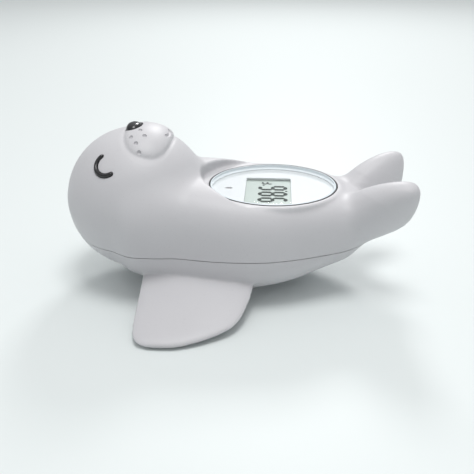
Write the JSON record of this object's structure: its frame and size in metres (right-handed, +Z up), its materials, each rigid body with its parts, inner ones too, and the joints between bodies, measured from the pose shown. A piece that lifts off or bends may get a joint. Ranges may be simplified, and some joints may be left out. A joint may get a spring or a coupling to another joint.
{
  "type": "bath thermometer",
  "caption": "Floating bath thermometer shaped as a seal on its back, with an oval window over a digital display in its belly.",
  "frame": {"origin": "under the middle of the object, on the surface that its underside rests on", "axes": "+X from the head to the tail, +Y to the seal's own left side, +Z up, the way the window faces"},
  "size_m": [0.1458, 0.126, 0.0691],
  "materials": {
    "grey_shell": "fine satin moulding",
    "black_gloss": "polished",
    "clear_lens": "clear acrylic, polished",
    "black_rubber": "matt",
    "white_card": "printed sheet",
    "display_glass": "grey-green display",
    "white_carrier": "moulded",
    "grey_rubber": "matt",
    "green_board": "solder mask",
    "black_resin": "potting resin",
    "tin": "tinned can",
    "ceramic_chip": "matt",
    "red_lamp": "tinted resin",
    "stainless_steel": "turned and pressed",
    "nickel_spring": "nickel plated",
    "sensor_glass": "glazed bead",
    "red_sleeve": "wire sleeve",
    "black_sleeve": "wire sleeve",
    "white_sleeve": "wire sleeve",
    "blue_sleeve": "wire sleeve"
  },
  "bodies": {
    "root": {"back_shell": "grey_shell", "battery_door": "grey_shell", "battery_minus_wire": "black_sleeve", "battery_plus_wire": "red_sleeve", "belly_shell": "grey_shell", "board_screw_1": "stainless_steel", "board_screw_2": "stainless_steel", "board_screw_3": "stainless_steel", "board_screw_4": "stainless_steel", "capacitor": "ceramic_chip", "chip_blob": "black_resin", "circuit_board": "green_board", "coin_cell": "stainless_steel", "crystal_can": "tin", "display_lens": "clear_lens", "door_screw_1": "stainless_steel", "door_screw_2": "stainless_steel", "door_screw_3": "stainless_steel", "door_seal": "black_rubber", "face_card": "white_card", "lcd_frame": "white_carrier", "lcd_panel": "display_glass", "left_contact_nut": "stainless_steel", "left_contact_wire": "blue_sleeve", "left_eye": "black_gloss", "left_probe_wire": "white_sleeve", "left_water_contact": "stainless_steel", "lens_gasket": "black_rubber", "negative_contact": "nickel_spring", "nose": "black_gloss", "positive_contact": "nickel_spring", "probe_cap": "stainless_steel", "probe_seal": "black_rubber", "resistor_1": "ceramic_chip", "resistor_2": "ceramic_chip", "right_contact_nut": "stainless_steel", "right_contact_wire": "blue_sleeve", "right_eye": "black_gloss", "right_probe_wire": "white_sleeve", "right_water_contact": "stainless_steel", "thermistor": "sensor_glass", "warning_led": "red_lamp", "zebra_strip_head": "grey_rubber", "zebra_strip_tail": "grey_rubber"}
  },
  "joints": []
}
